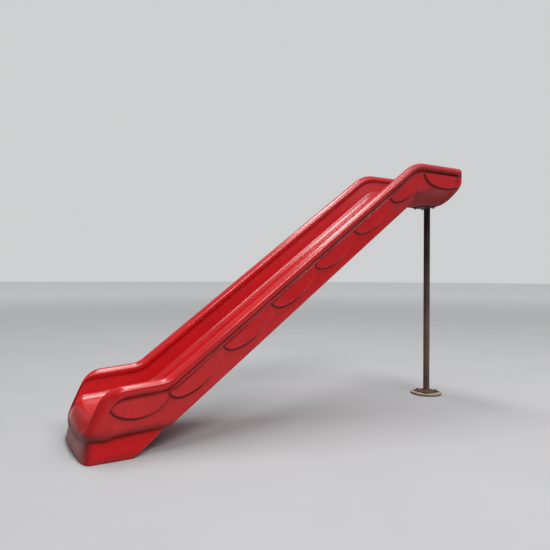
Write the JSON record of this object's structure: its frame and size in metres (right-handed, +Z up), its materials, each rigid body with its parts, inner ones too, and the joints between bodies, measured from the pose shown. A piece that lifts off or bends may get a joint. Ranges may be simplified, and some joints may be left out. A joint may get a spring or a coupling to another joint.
{
  "type": "playground slide",
  "caption": "Straight hollow-moulded playground slide with rolled rails and scalloped sides, a level entry carried by a round steel post, and an exit on its own foot.",
  "frame": {"origin": "on the ground, under the middle of the whole slide's bounding box", "axes": "+X runs from the exit to the entry, +Y across the slide, +Z up; the slide is mirrored across the plane y = 0"},
  "size_m": [2.7768, 0.6304, 1.726],
  "materials": {
    "red_polyethylene": "gloss, lightly weathered",
    "black_polyethylene": "matt",
    "brown_powder_coat": "satin powder coat, faded towards the ground",
    "zinc_steel": "zinc plated",
    "brass": "plain machined",
    "sand_concrete": "rough cast, dusty"
  },
  "bodies": {
    "root": {"chute": "red_polyethylene", "vent_plug": "black_polyethylene", "head_plate": "brown_powder_coat", "post_tube": "brown_powder_coat", "base_plate": "brown_powder_coat", "footing_pad": "sand_concrete", "belly_insert_1": "brass", "belly_insert_2": "brass", "belly_insert_3": "brass", "belly_insert_4": "brass", "entry_insert_1": "brass", "entry_insert_2": "brass", "entry_insert_3": "brass", "entry_insert_4": "brass", "foot_insert_1": "brass", "foot_insert_2": "brass", "foot_insert_3": "brass", "foot_insert_4": "brass", "head_washer_1": "zinc_steel", "head_washer_2": "zinc_steel", "head_washer_3": "zinc_steel", "head_washer_4": "zinc_steel", "head_lock_washer_1": "zinc_steel", "head_lock_washer_2": "zinc_steel", "head_lock_washer_3": "zinc_steel", "head_lock_washer_4": "zinc_steel", "head_bolt_1": "zinc_steel", "head_bolt_2": "zinc_steel", "head_bolt_3": "zinc_steel", "head_bolt_4": "zinc_steel", "anchor_washer_1": "zinc_steel", "anchor_washer_2": "zinc_steel", "anchor_washer_3": "zinc_steel", "anchor_washer_4": "zinc_steel", "anchor_lock_washer_1": "zinc_steel", "anchor_lock_washer_2": "zinc_steel", "anchor_lock_washer_3": "zinc_steel", "anchor_lock_washer_4": "zinc_steel", "anchor_nut_1": "zinc_steel", "anchor_nut_2": "zinc_steel", "anchor_nut_3": "zinc_steel", "anchor_nut_4": "zinc_steel", "anchor_stud_1": "zinc_steel", "anchor_stud_2": "zinc_steel", "anchor_stud_3": "zinc_steel", "anchor_stud_4": "zinc_steel"}
  },
  "joints": []
}
